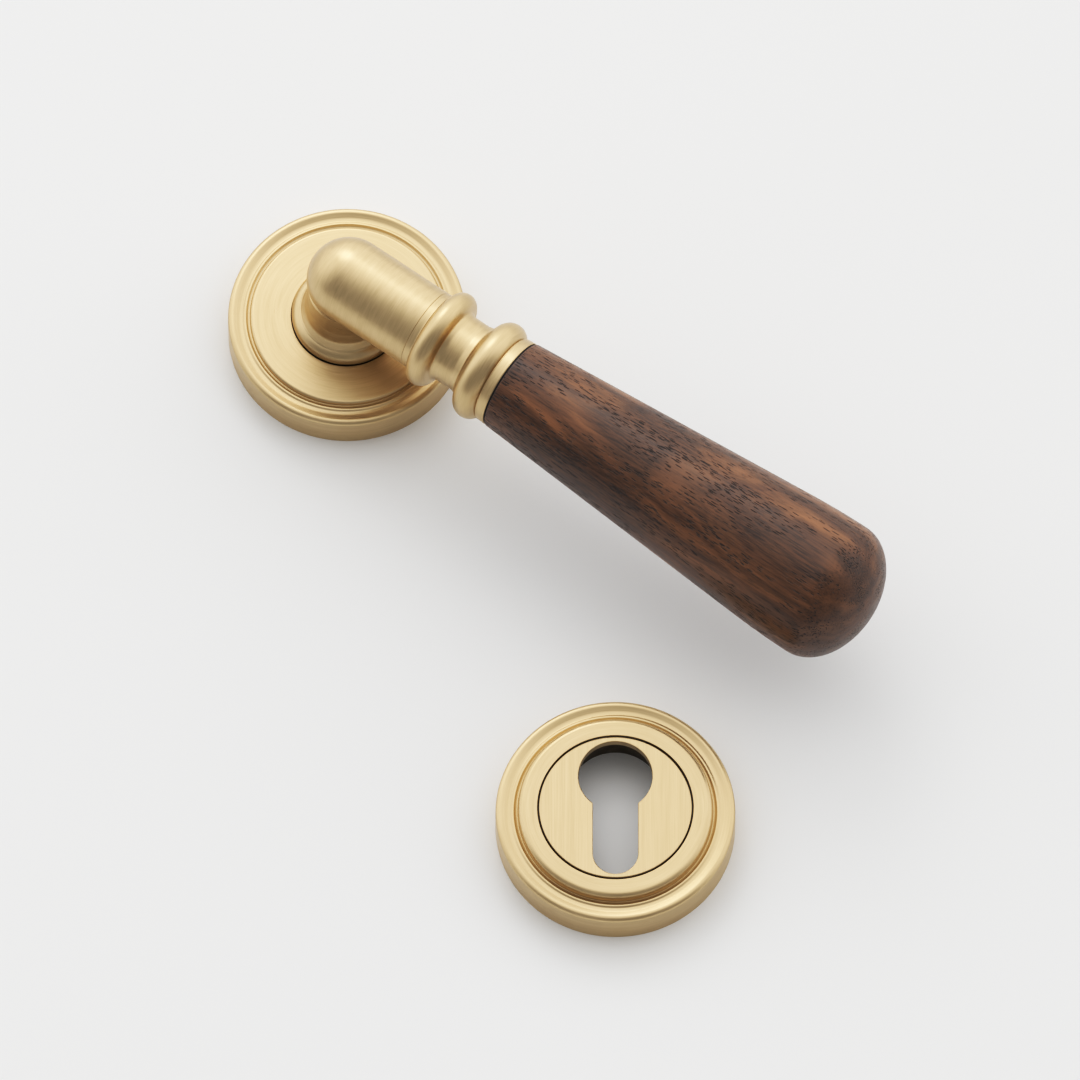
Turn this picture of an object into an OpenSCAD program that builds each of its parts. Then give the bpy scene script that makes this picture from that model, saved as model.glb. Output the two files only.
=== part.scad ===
// Sprung door lever on a round rose, with a turned wooden grip, and the matching round
// escutcheon for a euro-profile lock cylinder.
// Z = 0 is the face of the door and +Z points out of it. The origin is the spindle's axis
// at the door's face, and +Y is up the door. Pieces below Z = 0 go into the door.
// The lever's own frame has x along the lever, from the spindle's axis towards the grip.

/* [Layout] */
// Direction of the lever at rest, measured from +X
lever_angle = -35.4; // [-60:0.1:0]
// Escutcheon's centre, to the right of the spindle's axis
esc_x = 63; // [60:0.5:90]
// Escutcheon's centre, up from the spindle's axis
esc_y = -126.6; // [-150:0.1:-110]

/* [Roses] */
// Outer radius of both roses
rose_r = 28; // [27.5:0.1:29]
// Height of the moulded rim over the door
rim_z = 9.55; // [9.45:0.05:9.65]
// Height of the lever rose's flat face
rose_face_z = 9.95; // [9.9:0.05:10.2]
// Radius of the lever rose's raised face
rose_face_r = 22.7; // [22.2:0.1:23.1]
// Height of the escutcheon's flat face
esc_face_z = 11.6; // [11.5:0.1:12.4]
// Radius of the escutcheon's raised face
esc_face_r = 22.7; // [22.2:0.1:23.1]

/* [Euro profile] */
// Radius of the round part of the cylinder hole
euro_r = 8.65; // [8.55:0.05:8.8]
// Half the width of the slot part of the cylinder hole
euro_slot_r = 5.3; // [5.1:0.05:5.4]
// Distance from the round part's centre to the slot end's centre
euro_drop = 19.5; // [19.4:0.1:19.6]
// Height of the round part's centre over the escutcheon's centre
euro_up = 8; // [7.9:0.1:8.1]
// Radius of the loose-fitting centre disc
insert_r = 17.9; // [17.7:0.1:18]
// Thickness of the centre disc
insert_t = 1.8; // [1.5:0.1:2]
// Gap between the centre disc and the cover ring
insert_gap = 0.3; // [0.2:0.05:0.4]

/* [Lever] */
// Height of the lever's axis over the door
axis_z = 31.4; // [31:0.1:34]
// Radius of the round-ended arm
arm_r = 10; // [9.8:0.1:10.2]
// Length of the arm from the spindle's axis to the ferrule
arm_len = 22.8; // [22:0.1:24]
// Radius of the neck between the foot and the arm
neck_r = 8.7; // [8.2:0.1:8.9]
// Outer radius of the neck's moulded foot
foot_r = 13; // [12.7:0.1:13.2]

/* [Ferrule] */
// Greatest radius of the bead next to the arm
bead1_r = 12.45; // [12.2:0.05:13]
// Greatest radius of the bead next to the grip
bead2_r = 12.7; // [12.3:0.05:13]
// Radius of the waist between the beads
waist_r = 8.6; // [8.5:0.05:8.9]
// Where the ferrule ends
ferrule_end = 47.2; // [47:0.1:48]

/* [Grip] */
// Radius of the grip where it starts
grip_r0 = 11.3; // [11.2:0.05:11.6]
// Greatest radius of the grip
grip_r1 = 17.2; // [17:0.1:17.6]
// Where the grip is thickest
grip_belly = 137.7; // [136:0.1:140]
// Where the grip's rounded end finishes
grip_end = 149.8; // [148:0.1:153]

/* [Fixings] */
// Side of the square spindle
spindle_w = 8; // [7.8:0.1:8]
// How far the spindle stands out behind the door's face
spindle_out = 52; // [30:1:70]
// Distance between the centres of the rose's threaded posts
post_pcd = 38; // [37.5:0.1:38.5]
// Distance between the centres of the escutcheon's bolts
bolt_pcd = 44; // [43.8:0.1:44.2]
// How far the escutcheon's bolts stand out behind the door's face
bolt_out = 36; // [20:1:50]

/* [Hidden] */
$fn = 96;
over = 1; // how far a cutting shape runs past the surface that it cuts

BRASS = [0.83, 0.68, 0.42];
WALNUT = [0.33, 0.19, 0.12];
STEEL = [0.62, 0.63, 0.65];
DARK_STEEL = [0.30, 0.31, 0.33];
ZINC = [0.09, 0.085, 0.08];
NYLON = [0.88, 0.87, 0.82];
FIBRE = [0.06, 0.05, 0.05];
RUBBER = [0.08, 0.08, 0.08];

// moulding of the rim: a rounded outer edge, a hollow, a fine bead and a groove
edge_r = 1.15;
hollow_r = 2.2;
hollow_at = [25.35, 11.15];
bead_at = [24.2, 8.95];
bead_tube = 0.45;
groove_z = 8.3;
face_round = 1;
esc_face_round = 1.3;

// hollow inside the covers, and the bases that fill it
hollow_wall_r = 26.2;
hollow_low_z = 6.9;
hollow_high_r = 21.4;
face_t = 1.3;
base_r = 25.9;
base_z = 6.6;
hub_r = 21.1;
hub_z = 7.6;
esc_hub_r = 20.8;
esc_hub_play = 2.2; // the base's opening is this much larger all round than the disc's
o_ring_at = [25.4, 1.6];
o_ring_r = 0.75;
o_ring_groove_r = 0.8;
relief_z = 4;
relief_r = [19.4, 24];
rib_w = 1.6;

// bearing and return mechanism inside the lever's rose
spigot_r = 9;
spigot_gap = 0.05;
bush_r = 10.4;
bush_flange_r = 11.4;
cover_gap = 0.15; // between the cover's hole and the foot of the neck, which it slides past
foot_z = 9.7;
foot_tube = 2.6;
foot_centre_z = 10.8;
flare_z = 13.3; // where the neck starts to widen into its foot, and the radius of that curve
flare_r = 2.2;
spring_pocket_z = 5.9;
spring_pocket_r = 12.9;
plate_pocket_z = 2.25;
plate_pocket_r = 14.4;
plate_z = [1, 2.15];
plate_r = 13.9;
flat_w = 14.4;
turn = 40; // how far the lever turns each way
ear_half = 7;
ear_r = 16.6;
ear_pocket_r = 17;
stop_gap = 0.6;
tab_half = 10;
tab_r = [13.1, 14];
lug_r = [14.8, 17.6];
lug_half = 10.2;
leg_half = 13.2;
leg_pocket_r = 17.6;
leg_pocket_half = 58;
clip_groove_r = 7.7;
clip_r = 10.1;
clip_z = [0.4, 0.9];
clip_play = 0.05;
clip_gap_half = 24; // half the angle of the clip's opening
clip_lug_at = 27;
clip_lug_from = 9.5;
clip_lug_r = 1.7;
clip_hole_r = 0.7;
neck_end_z = 0.2;

// return spring: wire, coil radius, wound height and the reach of its two legs
wire_r = 0.55;
coil_r = 11.9;
coil_z = [5.2, 2.9];
leg_end_r = 17;
leg_near_r = 13.4; // where a leg starts to bend into the coil
leg_turn = [12.35, 2.5];
leg_bend = 8;
coil_step = 12;
wire_sides = 8;

socket_z = 29; // top of the neck inside the arm
spindle_top = 24;
spindle_play = 0.1;
spindle_corner = [0.4, 3]; // how the spindle's ends are chamfered: beyond its flats, and along it
grub_z = 18.2;
grub_r = 2.5;
grub_sunk = 0.4;
hex_socket_r = 1.44;
hex_socket_from = 1.6;

dome_x = 0.8; // centre of the arm's domed end
bead1_at = 27.4;
bead1_tube_r = 2.75;
bead2_at = 41.3;
bead2_tube_r = 3.5;
waist_from = [[9, 30.6], [8.75, 31.4]]; // the curve from the first bead down to the waist
waist_to = [[8.85, 36.3], [9.1, 37.3]]; // and from the waist up to the second bead
collar_from = 44.9;
collar_r = [11, 11.2];

tang_r = 4;
tang_chamfer = 0.6;
tang_from = 9.4;
tang_to = 96;
insert_sleeve_r = 6.5;
insert_sleeve_to = 70;
insert_groove = [4, 1, 0.5]; // spacing, width and depth of the sleeve's grip grooves
washer_t = 0.4;
washer_r = 10.9;
grip_start = ferrule_end + washer_t;
grip_taper = 0.072;
belly_arc = 212; // radius of the long arc from the taper to the belly
edge_break = 0.3; // chamfer on the grip's edge

post_r = 3.75;
post_in = 4.4;
post_out = 9;
post_thread_r = 1.65;
post_thread_in = 3; // how far the posts' threads reach past the door's face
bolt_r = 2;
bolt_shank_r = 2.2; // the plain shank inside the base, above the thread
bolt_head_r = 3.1;
bolt_head_z = 6.3;
head_edge = 0.8; // height of a countersunk head's straight edge, and of its cone
head_cone = 1.2;
cross_w = 0.9;
cross_depth = 1.1;
insert_screw_at = [11.6, -4];
insert_screw_r = 1.25;
insert_screw_head_r = 2.3;
insert_screw_low = 0.1;
insert_screw_edge = 0.3;
insert_cover_t = 0.6; // metal left between an insert screw's end and the disc's face
insert_cross = [2.6, 0.6, 0.8];

// ---- shared shapes ----

module at_lever() {
    translate([0, 0, axis_z]) rotate([0, 0, lever_angle]) children();
}

module at_rose() {
    rotate([0, 0, lever_angle]) children();
}

module at_escutcheon() {
    translate([esc_x, esc_y, 0]) children();
}

// turns a section about the lever's own x axis: its x is the radius and its y the distance
module turned() {
    rotate([0, 90, 0]) rotate_extrude() children();
}

function arc(centre, r, a0, a1, n) =
    [for (i = [0:n]) centre + r * [cos(a0 + (a1 - a0) * i / n), sin(a0 + (a1 - a0) * i / n)]];

module ring(r0, r1, z0, z1) {
    translate([0, 0, z0]) difference() {
        cylinder(r = r1, h = z1 - z0);
        translate([0, 0, -over]) cylinder(r = r0, h = z1 - z0 + 2 * over);
    }
}

// the part of a ring within half an angle each side of the direction at
module sector(r0, r1, z0, z1, at, half) {
    reach = 2 * r1;
    translate([0, 0, z0]) linear_extrude(z1 - z0) intersection() {
        difference() {
            circle(r = r1);
            circle(r = r0);
        }
        rotate(at) polygon([
            [0, 0], reach * [cos(half), -sin(half)], [reach, 0], reach * [cos(half), sin(half)],
        ]);
    }
}

module euro_profile(grow = 0) {
    translate([0, euro_up]) circle(r = euro_r + grow);
    translate([0, euro_up - euro_drop]) circle(r = euro_slot_r + grow);
    translate([-euro_slot_r - grow, euro_up - euro_drop])
        square([2 * (euro_slot_r + grow), euro_drop]);
}

// solid section of a rose: the moulded rim, and a raised face with a rounded edge
module rose_section(face_r, face_z, edge) {
    difference() {
        union() {
            square([rose_r - edge_r, rim_z]);
            square([rose_r, rim_z - edge_r]);
            translate([rose_r - edge_r, rim_z - edge_r]) circle(r = edge_r);
        }
        translate(hollow_at) circle(r = hollow_r);
        translate([-over, bead_at[1]]) square([bead_at[0] + over, 4]);
        translate([-over, groove_z]) square([bead_at[0] - bead_tube + over, 4]);
    }
    translate(bead_at) circle(r = bead_tube);
    square([face_r - edge, face_z]);
    square([face_r, face_z - edge]);
    translate([face_r - edge, face_z - edge]) circle(r = edge);
}

module cover(face_r, face_z, edge, hole_r) {
    rotate_extrude() difference() {
        intersection() {
            rose_section(face_r, face_z, edge);
            square([2 * rose_r, 2 * rim_z]);
        }
        translate([-over, -over]) square([hollow_wall_r + over, hollow_low_z + over]);
        translate([-over, -over]) square([hollow_high_r + over, face_z - face_t + over]);
        translate([-over, -over]) square([hole_r + over, face_z + 2 * over]);
    }
}

// shallow pockets in the back of a base, between its ribs and the bosses for its fixings
module back_relief(pcd, boss_r, at) {
    difference() {
        ring(relief_r[0], relief_r[1], -over, relief_z);
        for (side = [0, 180]) rotate([0, 0, at + side]) {
            translate([pcd / 2, 0, -2 * over]) cylinder(r = boss_r, h = relief_z + 4 * over);
            for (rib = [50, 90, 130]) rotate([0, 0, rib])
                translate([relief_r[0] - over, -rib_w / 2, -2 * over])
                    cube([relief_r[1] - relief_r[0] + 2 * over, rib_w, relief_z + 4 * over]);
        }
    }
}

// a rubber ring round a base, squeezed by the cover's wall, that holds the cover on
module o_ring() {
    color(RUBBER) rotate_extrude() translate(o_ring_at) circle(r = o_ring_r);
}

module o_ring_groove() {
    rotate_extrude() {
        translate(o_ring_at) circle(r = o_ring_groove_r);
        translate([o_ring_at[0], o_ring_at[1] - o_ring_groove_r]) square([over, 2 * o_ring_groove_r]);
    }
}

// ---- lever's rose ----

module rose_cover() {
    color(BRASS) cover(rose_face_r, rose_face_z, face_round, foot_r + cover_gap);
}

module rose_base() {
    color(ZINC) at_rose() difference() {
        union() {
            cylinder(r = base_r, h = base_z);
            cylinder(r = hub_r, h = hub_z);
        }
        translate([0, 0, -over]) cylinder(r = bush_r, h = hub_z + 2 * over);
        translate([0, 0, -over]) cylinder(r = spring_pocket_r, h = spring_pocket_z + over);
        translate([0, 0, -over]) cylinder(r = plate_pocket_r, h = plate_pocket_z + over);
        difference() {
            sector(0, leg_pocket_r, -over, spring_pocket_z, 180, leg_pocket_half);
            sector(lug_r[0], lug_r[1] + over, plate_pocket_z, spring_pocket_z + over, 180, lug_half);
        }
        sector(0, ear_pocket_r, -over, plate_pocket_z, 0, turn + ear_half + stop_gap);
        o_ring_groove();
        for (side = [-1, 1]) translate([0, side * post_pcd / 2, -over])
            cylinder(r = post_r, h = post_in + over);
        back_relief(post_pcd, 5.2, 90);
    }
}

module neck_bush() {
    color(NYLON) {
        ring(spigot_r + spigot_gap, bush_r, spring_pocket_z, hub_z);
        ring(spigot_r + spigot_gap, bush_flange_r, hub_z, foot_z - spigot_gap);
    }
}

// points of the spring's centre line: in along one leg, round the coil, and out along the other
spring_from = 180 + leg_half;
spring_to = 180 - leg_half + 720;
coil_from = spring_from + leg_bend;
coil_to = spring_to - leg_bend;
coil_n = floor((coil_to - coil_from) / coil_step);
function polar(r, a, z) = [r * cos(a), r * sin(a), z];
function leg(a, inward, z) = [
    polar(leg_end_r, a, z), polar((leg_end_r + leg_near_r) / 2, a, z), polar(leg_near_r, a, z),
    polar(leg_turn[0], a + inward * leg_turn[1], z),
];
function flipped(list) = [for (i = [len(list) - 1:-1:0]) list[i]];
spring_path = concat(
    leg(spring_from, 1, coil_z[0]),
    [for (i = [0:coil_n]) polar(
        coil_r, coil_from + (coil_to - coil_from) * i / coil_n,
        coil_z[0] + (coil_z[1] - coil_z[0]) * i / coil_n
    )],
    flipped(leg(spring_to, -1, coil_z[1]))
);
function unit(v) = v / norm(v);
function heading(path, i) = unit(path[min(i + 1, len(path) - 1)] - path[max(i - 1, 0)]);

// a round wire along a path that stays nearly level
module wire(path, r, sides) {
    last = len(path) - 1;
    points = [for (i = [0:last]) let (
        ahead = heading(path, i), side = unit(cross([0, 0, 1], ahead)), up = cross(ahead, side)
    ) each [for (k = [0:sides - 1]) path[i] + r * (
        cos(360 * k / sides) * side + sin(360 * k / sides) * up
    )]];
    faces = concat(
        [[for (k = [0:sides - 1]) k]],
        [for (i = [0:last - 1], k = [0:sides - 1]) let (n = (k + 1) % sides) each [
            [i * sides + k, (i + 1) * sides + k, (i + 1) * sides + n],
            [i * sides + k, (i + 1) * sides + n, i * sides + n],
        ]],
        [[for (k = [sides - 1:-1:0]) last * sides + k]]
    );
    polyhedron(points, faces, convexity = 8);
}

module return_spring() {
    color(DARK_STEEL) at_rose() wire(spring_path, wire_r, wire_sides);
}

module rose_o_ring() {
    o_ring();
}

module fixing_posts() {
    color(STEEL) at_rose() for (side = [-1, 1]) translate([0, side * post_pcd / 2, -post_out])
        difference() {
            cylinder(r = post_r, h = post_out + post_in);
            translate([0, 0, -over])
                cylinder(r = post_thread_r, h = post_out + post_thread_in + over);
        }
}

// ---- lever ----

module neck_section() {
    difference() {
        union() {
            translate([0, neck_end_z]) square([spigot_r, foot_z]);
            translate([0, foot_z])
                square([foot_r - foot_tube, foot_centre_z + foot_tube - foot_z]);
            square([neck_r, socket_z]);
            polygon(concat(
                [[0, flare_z]],
                arc([neck_r + flare_r, flare_z + flare_r], flare_r, 270, 180, 8),
                [[0, flare_z + flare_r]]
            ));
            intersection() {
                translate([foot_r - foot_tube, foot_centre_z]) circle(r = foot_tube);
                translate([0, foot_z]) square(foot_r + over);
            }
        }
        translate([-over, -over]) square([foot_r, neck_end_z + over]);
        translate([clip_groove_r, clip_z[0] - clip_play])
            square([foot_r, clip_z[1] - clip_z[0] + 2 * clip_play]);
    }
}

module lever_neck() {
    hole_w = spindle_w + spindle_play;
    color(BRASS) at_rose() difference() {
        rotate_extrude() neck_section();
        for (side = [0, 180]) rotate([0, 0, side]) translate([-spigot_r - over, flat_w / 2, -over])
            cube([2 * (spigot_r + over), spigot_r, over + plate_z[1] + spigot_gap]);
        translate([-hole_w / 2, -hole_w / 2, -over]) cube([hole_w, hole_w, spindle_top + 2 * over]);
        translate([0, 0, grub_z]) rotate([-90, 0, 0]) cylinder(r = grub_r, h = neck_r + over);
    }
}

module lever_arm() {
    color(BRASS) at_lever() difference() {
        union() {
            translate([dome_x, 0, 0]) sphere(r = arm_r);
            translate([dome_x, 0, 0]) rotate([0, 90, 0]) cylinder(r = arm_r, h = arm_len - dome_x);
        }
        translate([0, 0, -axis_z]) cylinder(r = neck_r, h = socket_z);
        translate([tang_from, 0, 0]) rotate([0, 90, 0]) cylinder(r = tang_r, h = arm_len);
    }
}

// how far round from a bead's crest its arc meets a given radius
function bead_angle(crest_r, tube_r, r) = acos((r - crest_r + tube_r) / tube_r);

// section of the ferrule: x is the radius and y the distance along the lever
module ferrule_section() {
    at_arm = bead_angle(bead1_r, bead1_tube_r, arm_r);
    at_collar = bead_angle(bead2_r, bead2_tube_r, collar_r[1] + edge_break);
    polygon(concat(
        [[tang_r, arm_len], [arm_r, arm_len]],
        arc([bead1_r - bead1_tube_r, bead1_at], bead1_tube_r, -at_arm, 90, 24),
        waist_from,
        [[waist_r, (waist_from[1][1] + waist_to[0][1]) / 2]],
        waist_to,
        arc([bead2_r - bead2_tube_r, bead2_at], bead2_tube_r, -90, at_collar, 24),
        [[collar_r[0] + 0.1, collar_from], [collar_r[0], collar_from + 0.5]],
        [[collar_r[1], ferrule_end], [tang_r, ferrule_end]]
    ));
}

module ferrule() {
    color(BRASS) at_lever() turned() ferrule_section();
}

module grip_washer() {
    color(FIBRE) at_lever() translate([ferrule_end, 0, 0]) rotate([0, 90, 0])
        ring(tang_r, washer_r, 0, washer_t);
}

// outline of the grip: a straight taper, a long arc up to the belly, and an oval end
taper_angle = atan(grip_taper);
belly_from = grip_belly - belly_arc * sin(taper_angle);
end_len = grip_end - grip_belly;
bore_to = tang_to + 2;
bore_r = tang_r + 0.2;

module grip_section() {
    polygon(concat(
        [[insert_sleeve_r, grip_start], [grip_r0 - edge_break, grip_start]],
        [[grip_r0, grip_start + edge_break]],
        arc([grip_r1 - belly_arc, grip_belly], belly_arc, -taper_angle, 0, 8),
        [for (a = [5:5:90]) [grip_r1 * cos(a), grip_belly + end_len * sin(a)]],
        [[0, bore_to], [bore_r, bore_to]],
        [[bore_r, insert_sleeve_to], [insert_sleeve_r, insert_sleeve_to]]
    ));
}

module grip() {
    color(WALNUT) at_lever() turned() grip_section();
}

module grip_tang() {
    color(STEEL) at_lever() turned() polygon([
        [0, tang_from], [tang_r - tang_chamfer, tang_from], [tang_r, tang_from + tang_chamfer],
        [tang_r, tang_to - tang_chamfer], [tang_r - tang_chamfer, tang_to], [0, tang_to],
    ]);
}

module grip_insert() {
    color(BRASS) at_lever() translate([grip_start, 0, 0]) rotate([0, 90, 0]) difference() {
        ring(tang_r, insert_sleeve_r, 0, insert_sleeve_to - grip_start);
        for (i = [1:5]) translate([0, 0, i * insert_groove[0]])
            ring(insert_sleeve_r - insert_groove[2], insert_sleeve_r + over, 0, insert_groove[1]);
    }
}

module spindle() {
    corner_r = spindle_w / 2 + spindle_corner[0];
    color(STEEL) at_rose() intersection() {
        translate([-spindle_w / 2, -spindle_w / 2, -spindle_out])
            cube([spindle_w, spindle_w, spindle_out + spindle_top]);
        rotate_extrude() polygon([
            [0, -spindle_out], [corner_r, -spindle_out], [spindle_w, -spindle_out + spindle_corner[1]],
            [spindle_w, spindle_top - spindle_corner[1]], [corner_r, spindle_top], [0, spindle_top],
        ]);
    }
}

module spindle_grub_screw() {
    from = spindle_w / 2;
    length = neck_r - grub_sunk - from;
    color(DARK_STEEL) at_rose() translate([0, from, grub_z]) rotate([-90, 0, 0]) difference() {
        cylinder(r = grub_r, h = length);
        translate([0, 0, hex_socket_from]) cylinder(r = hex_socket_r, h = length, $fn = 6);
    }
}

module drive_plate() {
    color(STEEL) at_rose() {
        difference() {
            union() {
                translate([0, 0, plate_z[0]]) cylinder(r = plate_r, h = plate_z[1] - plate_z[0]);
                sector(spigot_r, ear_r, plate_z[0], plate_z[1], 0, ear_half);
                sector(spigot_r, tab_r[1], plate_z[0], plate_z[1], 180, tab_half);
                sector(tab_r[0], tab_r[1], plate_z[0], coil_z[0] + wire_r, 180, tab_half);
            }
            intersection() {
                translate([0, 0, -over]) cylinder(r = spigot_r + spigot_gap, h = 2 * over + plate_z[1]);
                translate([-spigot_r - over, -flat_w / 2 - spigot_gap, -over])
                    cube([2 * (spigot_r + over), flat_w + 2 * spigot_gap, 2 * over + plate_z[1]]);
            }
        }
    }
}

module circlip() {
    color(DARK_STEEL) at_rose() difference() {
        union() {
            difference() {
                ring(clip_groove_r, clip_r, clip_z[0], clip_z[1]);
                sector(0, clip_r + over, clip_z[0] - over, clip_z[1] + over, 0, clip_gap_half);
            }
            for (side = [-1, 1]) rotate([0, 0, side * clip_lug_at])
                translate([clip_lug_from, 0, clip_z[0]])
                    cylinder(r = clip_lug_r, h = clip_z[1] - clip_z[0]);
        }
        for (side = [-1, 1]) rotate([0, 0, side * clip_lug_at])
            translate([clip_lug_from, 0, clip_z[0] - over]) cylinder(r = clip_hole_r, h = 3 * over);
        translate([0, 0, clip_z[0] - over]) cylinder(r = clip_groove_r, h = 3 * over);
    }
}

// ---- escutcheon ----

module escutcheon_cover() {
    color(BRASS) at_escutcheon()
        cover(esc_face_r, esc_face_z, esc_face_round, insert_r + insert_gap);
}

module at_insert_screws() {
    for (side = [-1, 1]) translate([side * insert_screw_at[0], insert_screw_at[1], 0]) children();
}

module at_bolts() {
    for (side = [-1, 1]) translate([side * bolt_pcd / 2, 0, bolt_head_z])
        rotate([0, 0, 20 + 25 * side]) children();
}

module escutcheon_insert() {
    color(BRASS) at_escutcheon() difference() {
        translate([0, 0, esc_face_z - insert_t]) linear_extrude(insert_t) difference() {
            circle(r = insert_r);
            euro_profile();
        }
        at_insert_screws() cylinder(r = insert_screw_r, h = esc_face_z - insert_cover_t);
    }
}

// a countersunk head with its flat top at z = 0, as a solid or as the seat that it lies in
module countersunk_head(r, head_r, above = 0) {
    translate([0, 0, -head_edge - head_cone]) cylinder(r1 = r, r2 = head_r, h = head_cone);
    translate([0, 0, -head_edge]) cylinder(r = head_r, h = head_edge + above);
}

module escutcheon_base() {
    color(ZINC) at_escutcheon() difference() {
        union() {
            cylinder(r = base_r, h = base_z);
            cylinder(r = esc_hub_r, h = esc_face_z - insert_t);
        }
        translate([0, 0, -over]) linear_extrude(esc_face_z) euro_profile(esc_hub_play);
        o_ring_groove();
        at_bolts() {
            translate([0, 0, -bolt_head_z - over]) cylinder(r = bolt_shank_r, h = bolt_head_z + over);
            countersunk_head(bolt_shank_r, bolt_head_r, above = over);
        }
        at_insert_screws() {
            translate([0, 0, -over]) cylinder(r = insert_screw_r, h = esc_face_z);
            translate([0, 0, insert_screw_low + insert_screw_edge])
                cylinder(r1 = insert_screw_head_r, r2 = insert_screw_r, h = head_cone);
            translate([0, 0, -over])
                cylinder(r = insert_screw_head_r, h = over + insert_screw_low + insert_screw_edge);
        }
        back_relief(bolt_pcd, 4.2, 0);
    }
}

module escutcheon_o_ring() {
    at_escutcheon() o_ring();
}

module escutcheon_bolts() {
    color(STEEL) at_escutcheon() at_bolts() difference() {
        union() {
            translate([0, 0, -bolt_head_z]) cylinder(r = bolt_shank_r, h = bolt_head_z);
            translate([0, 0, -bolt_head_z - bolt_out]) cylinder(r = bolt_r, h = bolt_out);
            countersunk_head(bolt_shank_r, bolt_head_r);
        }
        for (a = [0, 90]) rotate([0, 0, a])
            translate([-bolt_head_r * 0.62, -cross_w / 2, -cross_depth])
                cube([bolt_head_r * 1.24, cross_w, cross_depth + over]);
    }
}

module insert_screws() {
    length = esc_face_z - insert_cover_t - insert_screw_low;
    color(STEEL) at_escutcheon() at_insert_screws() translate([0, 0, insert_screw_low]) difference() {
        union() {
            cylinder(r = insert_screw_r, h = length);
            translate([0, 0, insert_screw_edge])
                cylinder(r1 = insert_screw_head_r, r2 = insert_screw_r, h = head_cone);
            cylinder(r = insert_screw_head_r, h = insert_screw_edge);
        }
        for (a = [0, 90]) rotate([0, 0, a]) translate([-insert_cross[0] / 2, -insert_cross[1] / 2, -over])
            cube([insert_cross[0], insert_cross[1], over + insert_cross[2]]);
    }
}

rose_cover();
rose_base();
neck_bush();
return_spring();
rose_o_ring();
fixing_posts();
lever_neck();
lever_arm();
ferrule();
grip_washer();
grip();
grip_tang();
grip_insert();
spindle();
spindle_grub_screw();
drive_plate();
circlip();
escutcheon_cover();
escutcheon_insert();
escutcheon_base();
escutcheon_o_ring();
escutcheon_bolts();
insert_screws();
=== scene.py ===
"""Looks of a door lever with a turned wooden grip and its euro-profile escutcheon."""
import math

import bmesh
import bpy
from mathutils import Matrix, Vector


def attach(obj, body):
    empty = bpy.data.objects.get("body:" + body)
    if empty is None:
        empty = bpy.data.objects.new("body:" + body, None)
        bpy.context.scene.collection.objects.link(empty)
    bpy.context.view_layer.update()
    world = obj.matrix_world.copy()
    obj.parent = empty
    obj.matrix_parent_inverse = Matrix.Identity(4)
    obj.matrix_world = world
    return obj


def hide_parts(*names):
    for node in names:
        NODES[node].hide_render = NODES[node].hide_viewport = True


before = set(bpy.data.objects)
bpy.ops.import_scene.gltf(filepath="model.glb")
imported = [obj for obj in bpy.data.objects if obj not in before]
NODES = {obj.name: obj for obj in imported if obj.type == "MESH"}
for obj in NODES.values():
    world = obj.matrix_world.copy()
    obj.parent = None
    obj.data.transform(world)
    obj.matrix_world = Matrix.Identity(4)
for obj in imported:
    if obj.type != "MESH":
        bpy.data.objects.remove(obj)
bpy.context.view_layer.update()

MM = 0.001
LEVER_ANGLE = math.radians(-35.4)
AXIS_Z = 31.4
ESCUTCHEON = (63.0, -126.6)
TURNS = 192  # facets round a turned piece

AT_ROSE = Matrix.Rotation(LEVER_ANGLE, 4, "Z")
AT_LEVER = Matrix.Translation((0, 0, AXIS_Z * MM)) @ AT_ROSE
AT_ESCUTCHEON = Matrix.Translation((ESCUTCHEON[0] * MM, ESCUTCHEON[1] * MM, 0))


# ---- outlines ----

def rounded(corners, steps=8):
    """Points along corners (x, y, radius), each corner rounded by an arc of that radius."""
    points = []
    for i, (x, y, radius) in enumerate(corners):
        here = Vector((x, y))
        if radius == 0 or i in (0, len(corners) - 1):
            points.append(here)
            continue
        before = (Vector(corners[i - 1][:2]) - here).normalized()
        after = (Vector(corners[i + 1][:2]) - here).normalized()
        half = before.angle(after) / 2
        centre = here + (before + after).normalized() * (radius / math.sin(half))
        start = here + before * (radius / math.tan(half)) - centre
        end = here + after * (radius / math.tan(half)) - centre
        sweep = start.angle_signed(end)
        for k in range(steps + 1):
            points.append(centre + Matrix.Rotation(-sweep * k / steps, 2) @ start)
    return [(p.x, p.y) for p in points]


def arc(centre, radius, start, end, steps=24):
    """Points on an arc about centre, with its angles in degrees."""
    angles = [math.radians(start + (end - start) * k / steps) for k in range(steps + 1)]
    return [(centre[0] + radius * math.cos(a), centre[1] + radius * math.sin(a)) for a in angles]


def supported(outline, near=0.12, longest=0.8):
    """The same outline with a point near each end of its long straight runs, so flats stay flat."""
    points = [outline[0]]
    for a, b in zip(outline, outline[1:]):
        run = math.dist(a, b)
        if run > longest:
            for part in (near / run, 1 - near / run):
                points.append((a[0] + (b[0] - a[0]) * part, a[1] + (b[1] - a[1]) * part))
        points.append(b)
    return points


def euro_outline(grow=0.0, steps=20):
    """The euro-profile opening about the disc's centre, in mm, anticlockwise from the slot's right side."""
    big = 8.65 + grow
    small = 5.3 + grow
    up = 8.0
    low = up - 19.5
    meet = math.degrees(math.asin(small / big))
    upper = arc((0, up), big, -90 + meet, 270 - meet, 3 * steps)
    lower = arc((0, low), small, 180, 360, 2 * steps)
    return upper + lower


# ---- meshes ----

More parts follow.
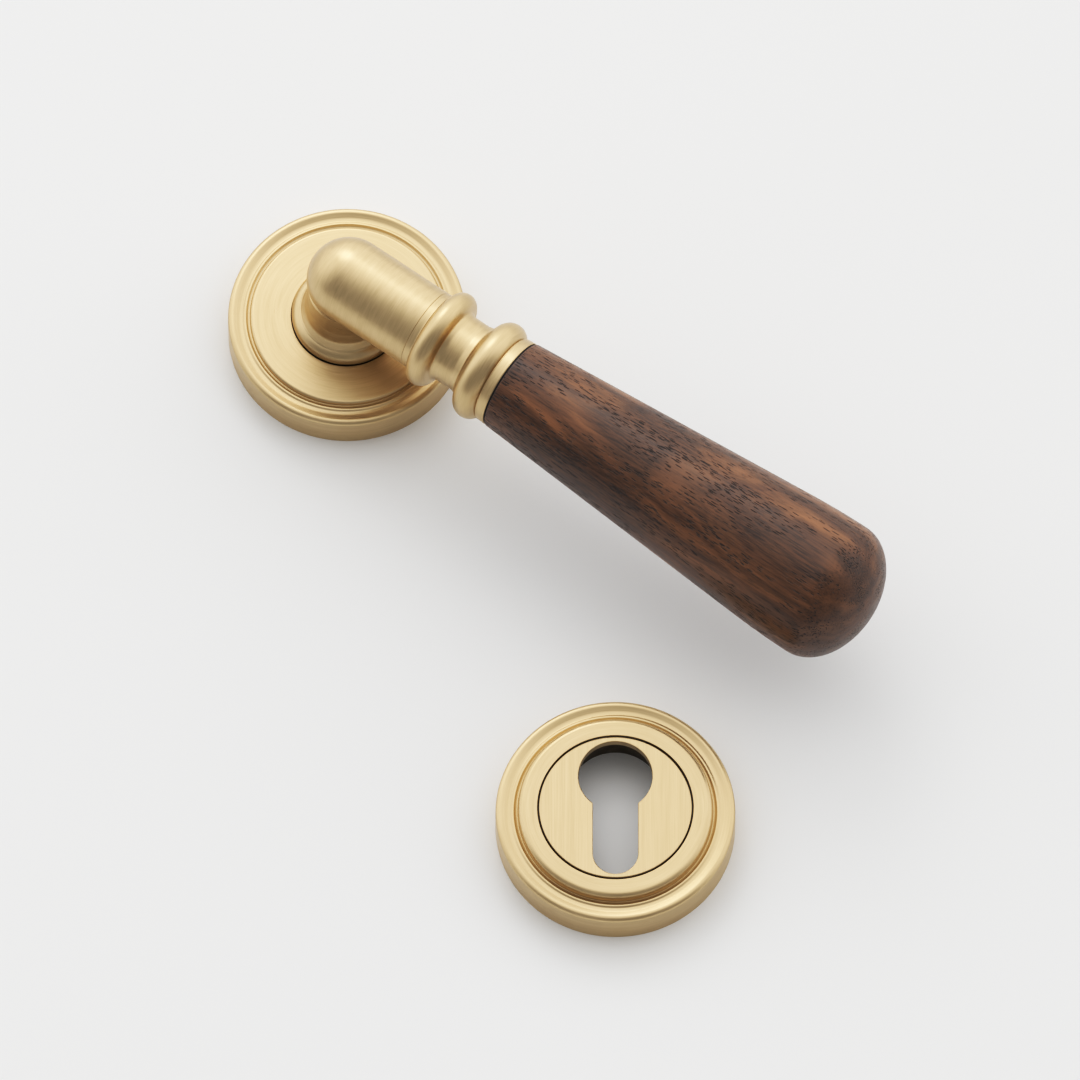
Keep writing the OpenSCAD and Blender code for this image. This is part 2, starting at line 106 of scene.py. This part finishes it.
def piece(name, bm, place, body, replaced, sharp=38):
    """Makes the object in the row frame, smooth apart from its sharp edges, for the CAD body."""
    mesh = bpy.data.meshes.new(name)
    bmesh.ops.transform(bm, matrix=place, verts=bm.verts)
    bmesh.ops.recalc_face_normals(bm, faces=bm.faces)
    bm.to_mesh(mesh)
    bm.free()
    mesh.shade_smooth()
    mesh.set_sharp_from_angle(angle=math.radians(sharp))
    obj = bpy.data.objects.new(name, mesh)
    bpy.context.scene.collection.objects.link(obj)
    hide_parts(replaced)
    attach(obj, body)
    return obj


def lathe(outline, axis="Z", closed=False, turns=TURNS):
    """A turned solid. Its outline holds (radius, distance along the axis) in mm.

    In its UV map, u runs along the outline and v runs round the axis.
    """
    bm = bmesh.new()
    outline = supported(outline)
    uv = bm.loops.layers.uv.new("turning")
    rings = []
    run = [0.0]
    for a, b in zip(outline, outline[1:] + outline[:1]):
        run.append(run[-1] + math.dist(a, b) / 100)
    for radius, along in outline:
        ring = []
        for k in range(turns if radius > 1e-6 else 1):
            a = 2 * math.pi * k / turns
            x, y = radius * math.cos(a), radius * math.sin(a)
            at = (x, y, along) if axis == "Z" else (along, x, y)
            ring.append(bm.verts.new(Vector(at) * MM))
        rings.append(ring)
    pairs = list(zip(rings, rings[1:]))
    if closed:
        pairs.append((rings[-1], rings[0]))
    for i, (low, high) in enumerate(pairs):
        for k in range(turns):
            n = (k + 1) % turns
            corners = [
                (low[k % len(low)], (run[i], k / turns)), (low[n % len(low)], (run[i], (k + 1) / turns)),
                (high[n % len(high)], (run[i + 1], (k + 1) / turns)),
                (high[k % len(high)], (run[i + 1], k / turns)),
            ]
            if len(low) == 1:
                corners.pop(1)
            if len(high) == 1:
                corners.pop()
            face = bm.faces.new([vert for vert, _ in corners])
            for loop, (_, at) in zip(face.loops, corners):
                loop[uv].uv = at
    return bm


def plate_with_hole(outer, holes, levels):
    """A flat plate. Each level is (z, how far its edges are drawn in), from the bottom to the top."""
    bm = bmesh.new()
    loops = []
    for z, inset in levels:
        rings = [outer(-inset)] + [hole(inset) for hole in holes]
        loops.append([[bm.verts.new(Vector((x, y, z)) * MM) for x, y in ring] for ring in rings])
    for low, high in zip(loops, loops[1:]):
        for a, b in zip(low, high):
            for k in range(len(a)):
                n = (k + 1) % len(a)
                bm.faces.new((a[k], a[n], b[n], b[k]))
    for level in (loops[0], loops[-1]):
        edges = []
        for ring in level:
            for k in range(len(ring)):
                edges.append(bm.edges.get((ring[k], ring[(k + 1) % len(ring)])))
        bmesh.ops.triangle_fill(bm, use_beauty=True, use_dissolve=False, edges=edges)
    return bm


# ---- outlines of the turned brass ----

def moulded_rim():
    """The rose's outer edge, from the door up and in to the groove round its face."""
    return rounded([
        (26.2, 0, 0), (27.9, 0, 0), (28, 0.1, 0), (28, 9.55, 1.05), (26.7, 9.55, 1.1), (25.4, 9.14, 2.0),
        (24.55, 9.12, 0.6), (24.15, 9.34, 0.25), (23.78, 9.36, 0.2), (23.4, 9.06, 0.25), (23.2, 8.98, 0),
    ])[:-1]


def rose_outline(face_r, face_z, edge, hole_r, thickness=1.3):
    """Closed section of a cover: moulded rim, raised face, hole, and the hollow behind."""
    under = face_z - thickness
    face = rounded([
        (23.2, 8.98, 0), (face_r + 0.15, 8.94, 0.15), (face_r, face_z, edge), (hole_r, face_z, 0.12),
        (hole_r, under, 0.1), (21.4, under, 0), (21.4, 6.9, 0), (26.2, 6.9, 0), (26.2, 0, 0),
    ])
    return moulded_rim() + face[:-1]


def neck_outline():
    foot = arc((10.4, 10.8), 2.6, -18.8, 74, 24)
    flare = rounded([foot[-1] + (0,), (11.0, 13.44, 0.05), (10.8, 13.55, 0.1), (9.7, 15.1, 3), (9.0, 18.5, 4),
                     (8.9, 25, 0)])
    return [(8.995, 0.2), (8.995, 9.7), (12.5, 9.7)] + foot + flare[1:] + [(0, 27)]


def arm_outline():
    dome = [(10 * math.sin(math.radians(a)), 0.8 - 10 * math.cos(math.radians(a))) for a in range(0, 91, 3)]
    return dome + [(9.98, 8), (9.92, 16), (9.92, 22.72), (9.86, 22.78), (4, 22.78)]


def ferrule_outline():
    first = arc((9.7, 27.4), 2.75, -80, 84, 40)
    second = arc((9.2, 41.3), 3.5, -82, 66, 40)
    return (
        [(4, 22.8), (9.86, 22.8), (9.92, 22.86), (9.92, 23.3)]
        + rounded([(9.92, 23.3, 0), (9.95, 24.75, 0.3), first[0] + (0,)])[1:-1]
        + first
        + rounded([first[-1] + (0,), (9.1, 30.35, 0.6), (8.62, 31.6, 1.2), (8.6, 35.6, 2.0), (9.0, 37.3, 0.9),
                   second[0] + (0,)])[1:-1]
        + second
        + rounded([second[-1] + (0,), (10.62, 44.72, 0.05), (11.0, 44.8, 0.12), (11.15, 46.98, 0.1),
                   (11.05, 47.2, 0.08), (4, 47.2, 0)])[1:]
    )


def grip_outline():
    belly, end, r1 = 137.7, 149.8, 17.187
    slope = math.atan(0.072)
    arc_r = 212
    taper_to = belly - arc_r * math.sin(slope)
    r_at = r1 - arc_r * (1 - math.cos(slope))
    start = 47.6
    taper = [(r_at - (taper_to - s) * math.tan(slope), s) for s in
             [start + 0.35 + (taper_to - start - 0.35) * k / 24 for k in range(25)]]
    long_arc = [(r1 - arc_r * (1 - math.cos(slope * k / 12)), belly - arc_r * math.sin(slope * k / 12))
                for k in range(11, 0, -1)]
    tip = [(r1 * math.cos(math.radians(a)), belly + (end - belly) * math.sin(math.radians(a)))
           for a in range(0, 91, 3)]
    lip = [(6.5, start), (taper[0][0] - 0.3, start), (taper[0][0] - 0.09, start + 0.09)]
    return lip + taper + long_arc + tip[:-1] + [(0, end)]


brass_pieces = {}
brass_pieces["rose_cover"] = piece(
    "rose_turned_cover", lathe(rose_outline(22.7, 9.95, 0.7, 13.15), closed=True),
    AT_ROSE, "rose_shell", "rose_cover")
brass_pieces["escutcheon_cover"] = piece(
    "escutcheon_turned_cover", lathe(rose_outline(22.7, 11.6, 1.3, 18.25), closed=True),
    AT_ESCUTCHEON, "escutcheon_shell", "escutcheon_cover")
brass_pieces["lever_neck"] = piece(
    "lever_turned_neck", lathe(neck_outline()), AT_ROSE, "lever", "lever_neck")
brass_pieces["lever_arm"] = piece(
    "lever_round_arm", lathe(arm_outline(), axis="X"), AT_LEVER, "lever", "lever_arm")
brass_pieces["ferrule"] = piece(
    "lever_turned_ferrule", lathe(ferrule_outline(), axis="X"), AT_LEVER, "lever", "ferrule")
grip = piece("turned_grip", lathe(grip_outline(), axis="X"), AT_LEVER, "lever", "grip")

disc_top = 11.6
disc = plate_with_hole(
    lambda grow: arc((0, 0), 17.85 + grow, 0, 360, 160)[:-1], [euro_outline],
    [(disc_top - 1.8, 0), (disc_top - 0.22, 0), (disc_top - 0.07, 0.07), (disc_top, 0.2)])
brass_pieces["escutcheon_insert"] = piece(
    "keyhole_disc", disc, AT_ESCUTCHEON, "fittings", "escutcheon_insert", sharp=12)


# ---- materials ----

class Shader:
    """One material's node tree, with short calls to add and join its nodes."""

    def __init__(self, name):
        self.material = bpy.data.materials.new(name)
        self.material.use_nodes = True
        self.tree = self.material.node_tree
        self.tree.nodes.clear()
        self.output = self.node("ShaderNodeOutputMaterial")
        self.bsdf = self.node("ShaderNodeBsdfPrincipled")
        self.join(self.bsdf.outputs["BSDF"], self.output.inputs["Surface"])

    def node(self, kind, **settings):
        made = self.tree.nodes.new(kind)
        for key, value in settings.items():
            setattr(made, key, value)
        return made

    def join(self, source, target):
        self.tree.links.new(source, target)

    def feed(self, target, value):
        """Sets a socket to a number, or joins it to an output."""
        if isinstance(value, bpy.types.NodeSocket):
            self.join(value, target)
        else:
            target.default_value = value

    def place(self, centre=(0, 0, 0), turned=0.0):
        """Object coordinates about centre, in a frame turned about z by that angle."""
        made = self.node("ShaderNodeMapping", vector_type="TEXTURE")
        self.join(self.node("ShaderNodeTexCoord").outputs["Object"], made.inputs["Vector"])
        made.inputs["Location"].default_value = centre
        made.inputs["Rotation"].default_value = (0, 0, turned)
        return made.outputs[0]

    def math(self, operation, *values, clamp=False):
        made = self.node("ShaderNodeMath", operation=operation, use_clamp=clamp)
        for socket, value in zip(made.inputs, values):
            self.feed(socket, value)
        return made.outputs[0]

    def split(self, vector):
        made = self.node("ShaderNodeSeparateXYZ")
        self.join(vector, made.inputs[0])
        return made.outputs

    def combine(self, x, y, z):
        made = self.node("ShaderNodeCombineXYZ")
        for socket, value in zip(made.inputs, (x, y, z)):
            self.feed(socket, value)
        return made.outputs[0]

    def stretch(self, vector, scale, offset=(0, 0, 0)):
        made = self.node("ShaderNodeMapping")
        self.join(vector, made.inputs["Vector"])
        made.inputs["Scale"].default_value = scale
        made.inputs["Location"].default_value = offset
        return made.outputs[0]

    def noise(self, vector, scale, detail=3.0, roughness=0.5, distortion=0.0):
        made = self.node("ShaderNodeTexNoise")
        self.join(vector, made.inputs["Vector"])
        made.inputs["Scale"].default_value = scale
        made.inputs["Detail"].default_value = detail
        made.inputs["Roughness"].default_value = roughness
        made.inputs["Distortion"].default_value = distortion
        return made.outputs["Fac"]

    def between(self, value, low, high, to_low=0.0, to_high=1.0, smooth=False):
        made = self.node("ShaderNodeMapRange", interpolation_type="SMOOTHSTEP" if smooth else "LINEAR")
        self.feed(made.inputs["Value"], value)
        for key, number in (("From Min", low), ("From Max", high), ("To Min", to_low), ("To Max", to_high)):
            made.inputs[key].default_value = number
        return made.outputs["Result"]

    def ramp(self, value, stops):
        made = self.node("ShaderNodeValToRGB")
        self.feed(made.inputs["Fac"], value)
        band = made.color_ramp.elements
        while len(band) < len(stops):
            band.new(0.5)
        for element, (at, colour) in zip(band, stops):
            element.position = at
            element.color = (*colour, 1)
        return made.outputs["Color"]

    def mix(self, amount, first, second, blend="MIX"):
        made = self.node("ShaderNodeMix", data_type="RGBA", blend_type=blend)
        self.feed(made.inputs["Factor"], amount)
        for socket, value in ((made.inputs[6], first), (made.inputs[7], second)):
            self.feed(socket, (*value, 1) if isinstance(value, tuple) else value)
        return made.outputs[2]

    def bump(self, height, distance, strength=1.0, onto=None):
        made = self.node("ShaderNodeBump")
        made.inputs["Strength"].default_value = strength
        made.inputs["Distance"].default_value = distance
        self.join(height, made.inputs["Height"])
        if onto is not None:
            self.join(onto, made.inputs["Normal"])
        return made.outputs[0]

    def set(self, **values):
        for key, value in values.items():
            self.feed(self.bsdf.inputs[key.replace("_", " ")], value)


BRASS_PALE = (0.635, 0.485, 0.290)
BRASS_DEEP = (0.540, 0.408, 0.236)
LEVER_PLACE = ((0, 0, AXIS_Z * MM), LEVER_ANGLE)
ESCUTCHEON_PLACE = ((ESCUTCHEON[0] * MM, ESCUTCHEON[1] * MM, 0), 0.0)


def brushed_brass(name, lay, frame_place=((0, 0, 0), 0.0), roughness=0.35, anisotropy=0.2):
    """Satin brass, brushed round the x or z axis (lay "round_x", "round_z") or along y ("along_y")."""
    s = Shader(name)
    place = s.place(*frame_place)
    x, y, z = s.split(place)
    if lay == "along_y":
        fine = s.stretch(place, (4200, 70, 4200))
        broad = s.stretch(place, (900, 18, 900))
        tangent = None
    else:
        across, up, along = (y, z, x) if lay == "round_x" else (x, y, z)
        radius = s.math("SQRT", s.math("ADD", s.math("MULTIPLY", across, across), s.math("MULTIPLY", up, up)))
        angle = s.math("ARCTAN2", up, across)
        turn = s.combine(s.math("COSINE", angle), s.math("SINE", angle), 0)
        turn_x, turn_y, _ = s.split(turn)
        sheet = s.math("ADD", radius, along) if lay == "round_z" else along
        fine = s.combine(s.math("MULTIPLY", turn_x, 2.2), s.math("MULTIPLY", turn_y, 2.2),
                         s.math("MULTIPLY", sheet, 3600))
        broad = s.combine(s.math("MULTIPLY", turn_x, 1.3), s.math("MULTIPLY", turn_y, 1.3),
                          s.math("MULTIPLY", sheet, 800))
        tangent = s.node("ShaderNodeTangent", direction_type="UV_MAP", uv_map="turning")
    grain = s.noise(fine, 1.0, 3, 0.6)
    bands = s.noise(broad, 1.0, 2, 0.5)
    patina = s.noise(place, 60, 4, 0.55)
    brushing = s.math("ADD", s.math("MULTIPLY", grain, 0.6), s.math("MULTIPLY", bands, 0.4))
    tone = s.between(brushing, 0.36, 0.64)
    colour = s.mix(tone, BRASS_DEEP, BRASS_PALE)
    colour = s.mix(s.between(patina, 0.45, 0.75, 0, 0.25), colour, (0.60, 0.455, 0.255))
    rough = s.math("ADD", s.between(grain, 0.3, 0.7, roughness - 0.06, roughness + 0.07),
                   s.between(patina, 0.35, 0.7, -0.02, 0.03))
    s.set(Base_Color=colour, Metallic=1.0, Anisotropic=anisotropy)
    s.set(Roughness=rough)
    if tangent is not None:
        s.join(tangent.outputs[0], s.bsdf.inputs["Tangent"])
    scratches = s.bump(grain, 0.00001, 0.55)
    s.set(Normal=s.bump(patina, 0.00004, 0.25, onto=scratches))
    return s.material


def walnut():
    """Oiled walnut with its grain along x: broad dark streaks, fine growth lines and open pores."""
    s = Shader("oiled_walnut")
    place = s.place(*LEVER_PLACE)
    warp = s.noise(s.stretch(place, (14, 42, 42)), 1.0, 3, 0.5)
    swirl = s.noise(s.stretch(place, (22, 60, 60), (3, 1, 7)), 1.0, 2, 0.5)
    x, y, z = s.split(place)
    rings_y = s.math("ADD", y, s.math("MULTIPLY", warp, 0.012))
    rings_z = s.math("ADD", s.math("ADD", z, 0.045), s.math("MULTIPLY", swirl, 0.012))
    ring_r = s.math("SQRT", s.math("ADD", s.math("MULTIPLY", rings_y, rings_y),
                                   s.math("MULTIPLY", rings_z, rings_z)))
    rings = s.combine(s.math("MULTIPLY", ring_r, 260), s.math("MULTIPLY", x, 6), 0.0)
    growth = s.noise(rings, 1.0, 5, 0.6, 0.15)
    fibres = s.noise(s.stretch(place, (110, 2300, 2300)), 1.0, 4, 0.65)
    streaks = s.noise(s.stretch(place, (13, 210, 210), (0.3, 0.2, 0.6)), 1.0, 4, 0.6, 0.15)
    cloud = s.noise(s.stretch(place, (26, 60, 60), (1.2, 0.4, 0.1)), 1.0, 2, 0.5, 0.3)
    colour = s.ramp(growth, [
        (0.30, (0.026, 0.0100, 0.0044)), (0.43, (0.080, 0.0300, 0.0105)),
        (0.54, (0.170, 0.0740, 0.0290)), (0.68, (0.320, 0.1460, 0.0600)),
    ])
    colour = s.mix(s.between(cloud, 0.48, 0.66, 0, 0.8, smooth=True), colour, (0.022, 0.0078, 0.0036))
    colour = s.mix(s.between(streaks, 0.46, 0.62, 0, 0.75), colour, (0.024, 0.0085, 0.0040))
    colour = s.mix(s.between(fibres, 0.40, 0.66, 0, 0.38), colour, (0.250, 0.105, 0.046))
    colour = s.mix(s.between(fibres, 0.46, 0.30, 0, 0.45), colour, (0.030, 0.0100, 0.0050))
    tip = s.between(x, 0.134, 0.150, 0, 0.5, smooth=True)
    colour = s.mix(tip, colour, (0.045, 0.0170, 0.0085))
    pores = [pore_layer(s, place, warp, shift) for shift in ((0, 0, 0), (0.013, 0.007, 0.021))]
    pore = s.math("MAXIMUM", *pores)
    colour = s.mix(s.math("MULTIPLY", pore, 0.88), colour, (0.010, 0.0040, 0.0022))
    s.set(Base_Color=colour, Metallic=0.0, IOR=1.5)
    s.bsdf.inputs["Specular IOR Level"].default_value = 0.58
    s.set(Roughness=s.math("ADD", s.between(fibres, 0.3, 0.7, 0.29, 0.41), s.math("MULTIPLY", pore, 0.35)))
    texture = s.bump(s.math("SUBTRACT", s.math("MULTIPLY", fibres, 0.3), pore), 0.00009, 0.8)
    s.set(Normal=texture)
    return s.material


def pore_layer(s, place, warp, shift):
    """Short dark dashes along the grain, denser in some places than in others: 1 in a pore, 0 beside it."""
    x, y, z = s.split(place)
    bent = s.combine(x, s.math("ADD", y, s.math("MULTIPLY", warp, 0.0015)), z)
    cells = s.node("ShaderNodeTexVoronoi", feature="F1")
    s.join(s.stretch(bent, (260, 2300, 2300), tuple(1000 * c for c in shift)), cells.inputs["Vector"])
    cells.inputs["Randomness"].default_value = 0.9
    cells.inputs["Scale"].default_value = 1.0
    dense = s.noise(s.stretch(place, (40, 170, 170), tuple(100 * c for c in shift)), 1.0, 3, 0.55)
    dash = s.between(cells.outputs["Distance"], 0.24, 0.33, 1, 0, smooth=True)
    return s.math("MULTIPLY", dash, s.between(dense, 0.47, 0.54))


def plain_metal(name, dark, pale, roughness, grain_scale, bump_depth, lines=None):
    """Cast, plated or drawn metal: a mottled tone, uneven gloss and a fine surface."""
    s = Shader(name)
    place = s.place()
    mottled = s.noise(place, grain_scale, 5, 0.6)
    fine = s.noise(s.stretch(place, lines) if lines else place, 1.0 if lines else grain_scale * 8, 3, 0.6)
    s.set(Base_Color=s.mix(s.between(mottled, 0.3, 0.7), dark, pale), Metallic=1.0)
    s.set(Roughness=s.between(fine, 0.3, 0.7, roughness - 0.08, roughness + 0.1))
    s.set(Normal=s.bump(fine, bump_depth, 0.6))
    return s.material


def moulded(name, dark, pale, roughness, speckle=2500, specular=0.4):
    """A moulded or pressed non-metal: slight mottle and a fine matt surface."""
    s = Shader(name)
    place = s.place()
    fine = s.noise(place, speckle, 3, 0.6)
    broad = s.noise(place, speckle / 12, 3, 0.5)
    s.set(Base_Color=s.mix(s.between(broad, 0.3, 0.7), dark, pale), Metallic=0.0)
    s.bsdf.inputs["Specular IOR Level"].default_value = specular
    s.set(Roughness=s.between(fine, 0.3, 0.7, roughness - 0.06, roughness + 0.08))
    s.set(Normal=s.bump(fine, 0.00002, 0.5))
    return s.material


def dress(obj, material):
    obj.data.materials.clear()
    obj.data.materials.append(material)


round_z = brushed_brass("brass_brushed_rose", "round_z")
round_esc = brushed_brass("brass_brushed_escutcheon", "round_z", ESCUTCHEON_PLACE)
round_x = brushed_brass("brass_brushed_lever", "round_x", LEVER_PLACE)
along_y = brushed_brass("brass_brushed_disc", "along_y", ESCUTCHEON_PLACE, anisotropy=0.0, roughness=0.36)
for key in ("rose_cover", "lever_neck"):
    dress(brass_pieces[key], round_z)
dress(brass_pieces["escutcheon_cover"], round_esc)
for key in ("lever_arm", "ferrule"):
    dress(brass_pieces[key], round_x)
dress(brass_pieces["escutcheon_insert"], along_y)
dress(grip, walnut())

# The bases' dark brown tone is painted shade: it darkens the walls seen through the keyhole, which lie in
# shade.
zinc = plain_metal("zinc_dark_painted_shade", (0.100, 0.080, 0.056), (0.150, 0.120, 0.086), 0.52, 420, 0.00006)
plated = plain_metal("zinc_plated_steel", (0.46, 0.47, 0.48), (0.62, 0.63, 0.64), 0.34, 260, 0.00002)
drawn = plain_metal("drawn_steel", (0.42, 0.42, 0.43), (0.58, 0.58, 0.59), 0.36, 200, 0.00002,
                    (3000, 3000, 60))
oiled = plain_metal("oiled_spring_steel", (0.07, 0.07, 0.075), (0.15, 0.15, 0.16), 0.32, 500, 0.00002)
turned = plain_metal("turned_brass", (0.60, 0.42, 0.16), (0.72, 0.54, 0.24), 0.30, 300, 0.00002)
nylon = moulded("nylon_bush", (0.62, 0.60, 0.54), (0.74, 0.72, 0.66), 0.48)
fibre = moulded("fibre_washer", (0.010, 0.007, 0.006), (0.022, 0.015, 0.012), 0.7)
rubber = moulded("rubber_ring", (0.012, 0.012, 0.012), (0.024, 0.024, 0.025), 0.62)
CAD_LOOKS = {
    "rose_base": zinc, "escutcheon_base": zinc, "neck_bush": nylon, "grip_washer": fibre,
    "return_spring": oiled, "circlip": oiled, "spindle_grub_screw": oiled,
    "fixing_posts": plated, "escutcheon_bolts": plated, "insert_screws": plated,
    "drive_plate": plated, "spindle": drawn, "grip_tang": drawn, "grip_insert": turned,
    "rose_o_ring": rubber, "escutcheon_o_ring": rubber,
}
for node, material in CAD_LOOKS.items():
    dress(NODES[node], material)


# ---- stage, light and camera ----

def floor_material():
    s = Shader("pale_table")
    place = s.place()
    cloudy = s.noise(place, 3.0, 3, 0.5)
    tooth = s.noise(place, 1400, 3, 0.6)
    s.set(Base_Color=s.mix(s.between(cloudy, 0.3, 0.7), (0.885, 0.885, 0.875), (0.90, 0.90, 0.895)))
    s.set(Roughness=s.between(tooth, 0.3, 0.7, 0.7, 0.85))
    s.bsdf.inputs["Specular IOR Level"].default_value = 0.2
    s.set(Normal=s.bump(tooth, 0.00001, 0.3))
    return s.material


def add_floor():
    mesh = bpy.data.meshes.new("pale_floor")
    half = 4.0
    corners = [(-half, -half, 0), (half, -half, 0), (half, half, 0), (-half, half, 0)]
    mesh.from_pydata(corners, [], [(0, 1, 2, 3)])
    floor = bpy.data.objects.new("pale_floor", mesh)
    bpy.context.scene.collection.objects.link(floor)
    floor.data.materials.append(floor_material())


def area_light(name, at, towards, size, power, colour=(1, 1, 1)):
    data = bpy.data.lights.new(name, "AREA")
    data.shape = "RECTANGLE"
    data.size, data.size_y = size
    data.energy = power
    data.color = colour
    light = bpy.data.objects.new(name, data)
    light.location = at
    light.rotation_euler = (Vector(towards) - Vector(at)).to_track_quat("-Z", "Y").to_euler()
    bpy.context.scene.collection.objects.link(light)


def add_world():
    """A soft studio: one side of the room, behind the object, is pale, and the viewer's side is dim."""
    world = bpy.data.worlds.new("studio")
    bpy.context.scene.world = world
    world.use_nodes = True
    tree = world.node_tree

    def calc(operation, *values):
        made = tree.nodes.new("ShaderNodeMath")
        made.operation = operation
        for socket, value in zip(made.inputs, values):
            if isinstance(value, bpy.types.NodeSocket):
                tree.links.new(value, socket)
            else:
                socket.default_value = value
        return made.outputs[0]

    place = tree.nodes.new("ShaderNodeTexCoord")
    split = tree.nodes.new("ShaderNodeSeparateXYZ")
    tree.links.new(place.outputs["Generated"], split.inputs[0])
    x, y, _ = split.outputs
    ends = calc("MULTIPLY", calc("MULTIPLY", x, x), 0.20)
    towards = calc("ADD", calc("ADD", y, calc("MULTIPLY", x, 0.10)), ends)
    level = tree.nodes.new("ShaderNodeMapRange")
    level.interpolation_type = "SMOOTHSTEP"
    tree.links.new(towards, level.inputs["Value"])
    for key, number in (("From Min", -0.42), ("From Max", 0.38), ("To Min", 0.40), ("To Max", 1.60)):
        level.inputs[key].default_value = number
    background = tree.nodes["Background"]
    tree.links.new(level.outputs["Result"], background.inputs["Strength"])
    background.inputs["Color"].default_value = (1, 1, 1, 1)


def add_camera():
    look_at = Vector((45.4, -53.4, 0)) * MM
    distance = 6.587
    elevation = math.radians(66.26)
    data = bpy.data.cameras.new("camera")
    data.sensor_width = 36
    data.lens = 935.3
    data.clip_end = 100
    camera = bpy.data.objects.new("camera", data)
    away = Vector((0, -math.cos(elevation), math.sin(elevation)))
    camera.location = look_at + distance * away
    camera.rotation_euler = (-away).to_track_quat("-Z", "Y").to_euler()
    bpy.context.scene.collection.objects.link(camera)
    bpy.context.scene.camera = camera


def set_response():
    """A camera's response: it holds back the brightest tones and deepens the dark ones."""
    view = bpy.context.scene.view_settings
    view.view_transform = "Standard"
    view.use_curve_mapping = True
    view.curve_mapping.white_level = (1.5, 1.5, 1.5)
    curve = view.curve_mapping.curves[3]
    steps = [(0.0, 0.0), (0.10, 0.062), (0.20, 0.158), (0.35, 0.33), (0.50, 0.485), (0.70, 0.655),
             (0.90, 0.785), (1.10, 0.882), (1.30, 0.955), (1.5, 1.0)]
    curve.points[0].location = (0, 0)
    curve.points[1].location = (1, 1)
    for light, shown in steps[1:-1]:
        curve.points.new(light / 1.5, shown)
    view.curve_mapping.update()


add_floor()
add_world()
area_light("softbox", (-0.12, 0.75, 0.75), (0.05, -0.05, 0), (0.5, 0.5), 1.8)
add_camera()
set_response()
